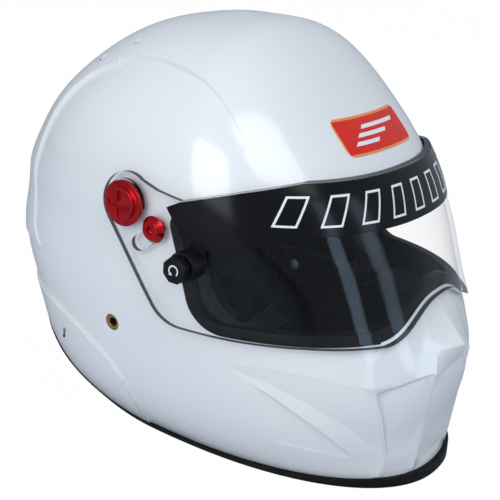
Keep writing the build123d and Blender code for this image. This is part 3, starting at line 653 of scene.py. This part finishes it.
def pressed_mark(name, corners, hole_inset, target, material, body):
    """A flat patch whose corners are (degrees round the helmet, height), framed if hole_inset is set, laid on target."""
    bpy.ops.object.select_all(action="DESELECT")
    bpy.ops.mesh.primitive_plane_add(size=1.0, location=(0.0, 0.0, 0.0))
    mark = bpy.context.active_object
    mark.name = name
    for vertex, (degrees, height) in zip(mark.data.vertices, corners):
        vertex.co = (math.radians(degrees) * mark_radius, height, 0.0)
    bpy.ops.object.mode_set(mode="EDIT")
    bpy.ops.mesh.select_all(action="SELECT")
    if hole_inset:
        bpy.ops.mesh.inset(thickness=hole_inset, use_even_offset=True)
        bpy.ops.mesh.delete(type="ONLY_FACE")
        bpy.ops.mesh.select_all(action="SELECT")
    bpy.ops.mesh.subdivide(number_cuts=7)
    bpy.ops.object.mode_set(mode="OBJECT")
    for vertex in mark.data.vertices:
        place, normal = surface_hit(target, outward_at(vertex.co.x / mark_radius), vertex.co.y)
        vertex.co = place + normal * print_gap
    wall = mark.modifiers.new("wall", "SOLIDIFY")
    wall.thickness = print_thickness
    wall.offset = 1.0
    bpy.ops.object.modifier_apply(modifier="wall")
    turn_faces_out(mark)
    mark.data.materials.append(material)
    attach(mark, body)


# %% Frames on the strip
mark_low = 0.1775
mark_height = 0.0175
mark_half_turn = 3.7
mark_lean = 1.7
mark_line = 0.0013
mark_places = (-58.0, -43.5, -29.0, -14.5, 0.0, 14.5, 29.0, 43.5, 58.0)
sun_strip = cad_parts["sun_strip"]
for count, mark_turn in enumerate(mark_places):
    corners = (
        (mark_turn - mark_half_turn - mark_lean, mark_low),
        (mark_turn + mark_half_turn - mark_lean, mark_low),
        (mark_turn - mark_half_turn + mark_lean, mark_low + mark_height),
        (mark_turn + mark_half_turn + mark_lean, mark_low + mark_height),
    )
    mark_name = "strip_mark_%d" % (count + 1)
    pressed_mark(mark_name, corners, mark_line, sun_strip, mark_white, "shield_assembly")
print(len(mark_places), "marks on the strip")

# %% [markdown]
# ## Forehead decal
# A red printed film with an orange border and three white speed bars. The border is measured from the
# film's own edges in its shader, so it follows the rounded rectangle.
# %% Decal film
decal_red = (0.74, 0.018, 0.008)
border_orange = (0.85, 0.30, 0.08)
border_width = 0.0012
decal_low, decal_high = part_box("forehead_decal")
half_x = decal_high.x
half_z = (decal_high.z - decal_low.z) / 2
mid_z = (decal_high.z + decal_low.z) / 2
decal_film = finish("red_print", decal_red, 0.4, specular=0.25)
decal_nodes = decal_film.node_tree
decal_place = decal_nodes.nodes.new("ShaderNodeTexCoord")
decal_split = decal_nodes.nodes.new("ShaderNodeSeparateXYZ")
decal_nodes.links.new(decal_place.outputs["Object"], decal_split.inputs["Vector"])
off_centre_x = maths(decal_nodes, "ABSOLUTE", decal_split.outputs["X"])
off_centre_z = maths(decal_nodes, "ABSOLUTE", maths(decal_nodes, "SUBTRACT", decal_split.outputs["Z"], mid_z))
to_side = maths(decal_nodes, "SUBTRACT", half_x, off_centre_x)
to_top = maths(decal_nodes, "SUBTRACT", half_z, off_centre_z)
inside = maths(decal_nodes, "GREATER_THAN", maths(decal_nodes, "MINIMUM", to_side, to_top), border_width)
decal_mix = decal_nodes.nodes.new("ShaderNodeMix")
decal_mix.data_type = "RGBA"
decal_mix.inputs[6].default_value = (*border_orange, 1.0)
decal_mix.inputs[7].default_value = (*decal_red, 1.0)
decal_nodes.links.new(inside, decal_mix.inputs["Factor"])
decal_nodes.links.new(decal_mix.outputs[2], decal_nodes.nodes["Principled BSDF"].inputs["Base Color"])
vary_roughness(decal_film, noise(decal_film, 60.0), 0.35, 0.48)
dress("forehead_decal", decal_film)
print("decal", [round(v, 4) for v in decal_high - decal_low])

# %% Speed bars on the decal
bar_half_height = 0.0010
bar_lean = 2.5
# Each bar is (degrees where it starts, degrees where it ends, height)
decal_bars = ((-26.0, -4.0, 0.2165), (-22.0, 9.0, 0.2205), (-16.0, 25.0, 0.2245))
decal_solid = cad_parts["forehead_decal"]
for count, (bar_start, bar_end, bar_z) in enumerate(decal_bars):
    corners = (
        (bar_start, bar_z - bar_half_height),
        (bar_end, bar_z - bar_half_height),
        (bar_start + bar_lean, bar_z + bar_half_height),
        (bar_end + bar_lean, bar_z + bar_half_height),
    )
    pressed_mark("decal_bar_%d" % (count + 1), corners, 0.0, decal_solid, mark_white, "helmet")
print(len(decal_bars), "bars on the decal")

# %% [markdown]
# ## Turn marks on the knobs
# A white open ring with an arrowhead is printed on each knob. Its arc is short four-cornered faces between
# two radii, and its arrowhead is one triangle at the end of the arc.
# %% Turn marks
knob_y, knob_z = -0.041, 0.148
ring_inner, ring_outer = 0.0027, 0.0036
head_inner, head_outer, head_tip = 0.0018, 0.0046, 0.00315
ring_start = -40.0
ring_sweep = 265.0
head_sweep = 32.0
ring_steps = 28
ink_gap = 0.00005
ink_thickness = 0.0001
for side, sign in sides.items():
    knob_low, knob_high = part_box("tear_off_post_knob_" + side)
    face_x = sign * (abs(knob_low.x if sign < 0 else knob_high.x) + ink_gap)

    def ring_point(radius, degrees):
        angle = math.radians(degrees)
        return face_x, knob_y - sign * radius * math.cos(angle), knob_z + radius * math.sin(angle)

    vertices = []
    for step in range(ring_steps + 1):
        turned = ring_start + ring_sweep * step / ring_steps
        vertices += [ring_point(ring_inner, turned), ring_point(ring_outer, turned)]
    faces = [(2 * n, 2 * n + 1, 2 * n + 3, 2 * n + 2) for n in range(ring_steps)]
    head = len(vertices)
    vertices += [ring_point(head_inner, ring_start), ring_point(head_outer, ring_start)]
    vertices.append(ring_point(head_tip, ring_start - head_sweep))
    faces.append((head, head + 1, head + 2))
    mark_mesh = bpy.data.meshes.new("turn_mark_" + side)
    mark_mesh.from_pydata(vertices, [], faces)
    mark = add_piece("turn_mark_" + side, mark_mesh)
    wall = mark.modifiers.new("wall", "SOLIDIFY")
    wall.thickness = ink_thickness
    wall.offset = 0.0
    bpy.ops.object.modifier_apply(modifier="wall")
    turn_faces_out(mark)
    mark.data.materials.append(mark_white)
    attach(mark, "post_knob_" + side)
print("turn marks printed")

# %% [markdown]
# ## Pads
# The comfort liner, cheek pads and neck roll are black knitted cloth over foam. Each starts from its
# solid, is remeshed evenly, drawn in by a hair and subdivided once. The cheek pads then swell under cloth
# pressure, so that their faces crown and their edges round. A cap on how far a point may move keeps them
# clear of their neighbours.
# %% Pad cloth
pad_cloth = finish("black_knit", (0.005, 0.006, 0.009), 0.95, sheen=0.03, specular=0.15)
vary_colour(pad_cloth, noise(pad_cloth, 260.0, 4.0), (0.003, 0.004, 0.006), (0.008, 0.010, 0.014))
grain(pad_cloth, cells(pad_cloth, 1500.0), 0.35, 0.0003)
print("pad cloth knitted")

# %% Cloth pressure
pad_pressure = 4.0
pressure_frames = 20


def swell_up(pad, cap):
    """Lets the pad swell as cloth under pressure, no point further than the cap."""
    start = [vertex.co.copy() for vertex in pad.data.vertices]
    cloth = pad.modifiers.new("cloth", "CLOTH")
    cloth.settings.use_pressure = True
    cloth.settings.uniform_pressure_force = pad_pressure
    cloth.settings.effector_weights.gravity = 0.0
    cloth.settings.quality = 5
    scene = bpy.context.scene
    for frame_number in range(1, pressure_frames + 1):
        scene.frame_set(frame_number)
    shaped = pad.evaluated_get(bpy.context.evaluated_depsgraph_get())
    moved = [vertex.co.copy() for vertex in shaped.data.vertices]
    pad.modifiers.remove(cloth)
    scene.frame_set(1)
    for vertex, old, new in zip(pad.data.vertices, start, moved):
        step = new - old
        if step.length > cap:
            step *= cap / step.length
        vertex.co = old + step


# %% Soft pads
def soft_pad(node_name, piece_name, voxel, shrink, swell=0.0):
    pad = solid_copy(node_name, piece_name, pad_cloth)
    forget_normals(pad)
    bpy.ops.object.mode_set(mode="EDIT")
    bpy.ops.mesh.select_all(action="SELECT")
    bpy.ops.mesh.remove_doubles(threshold=merge_reach)
    bpy.ops.object.mode_set(mode="OBJECT")
    pad.data.remesh_voxel_size = voxel
    bpy.ops.object.voxel_remesh()
    easing = pad.modifiers.new("easing", "SMOOTH")
    easing.factor = 0.5
    easing.iterations = 6
    bpy.ops.object.modifier_apply(modifier="easing")
    normals = [vertex.normal.copy() for vertex in pad.data.vertices]
    for vertex, normal in zip(pad.data.vertices, normals):
        vertex.co -= normal * shrink
    if swell:
        swell_up(pad, swell)
    finer = pad.modifiers.new("finer", "SUBSURF")
    finer.levels = 1
    finer.render_levels = 1
    bpy.ops.object.modifier_apply(modifier="finer")
    bpy.ops.object.shade_smooth()
    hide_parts(node_name)
    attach(pad, "helmet")
    print(piece_name, len(pad.data.polygons), "faces")


soft_pad("comfort_liner", "crown_padding", voxel=0.004, shrink=0.0006)
soft_pad("neck_roll", "neck_padding", voxel=0.004, shrink=0.0006)
for side in sides:
    soft_pad("cheek_pad_" + side, "cheek_padding_" + side, voxel=0.005, shrink=0.0028, swell=0.0024)

# %% [markdown]
# ## Chin strap
# Flat black webbing. A weave of fine ribs across its length is enough at this scale, and its edges are
# rounded, because webbing is woven round at its selvedge.
# %% Chin strap webbing
selvedge_round = 0.0005
webbing = finish("black_webbing", (0.018, 0.018, 0.02), 0.7, sheen=0.2)
vary_colour(webbing, noise(webbing, 700.0, 3.0), (0.012, 0.012, 0.014), (0.035, 0.035, 0.04))
webbing_nodes = webbing.node_tree
ribs = webbing_nodes.nodes.new("ShaderNodeTexWave")
ribs.bands_direction = "DIAGONAL"
ribs.inputs["Scale"].default_value = 320.0
ribs_place = webbing_nodes.nodes.new("ShaderNodeTexCoord")
webbing_nodes.links.new(ribs_place.outputs["Object"], ribs.inputs["Vector"])
grain(webbing, ribs.outputs["Fac"], 0.5, 0.0004)
for side in sides:
    strap_piece = "strap_webbing_" + side
    rounded_copy("chin_strap_" + side, strap_piece, selvedge_round, webbing, "helmet", segments=2)
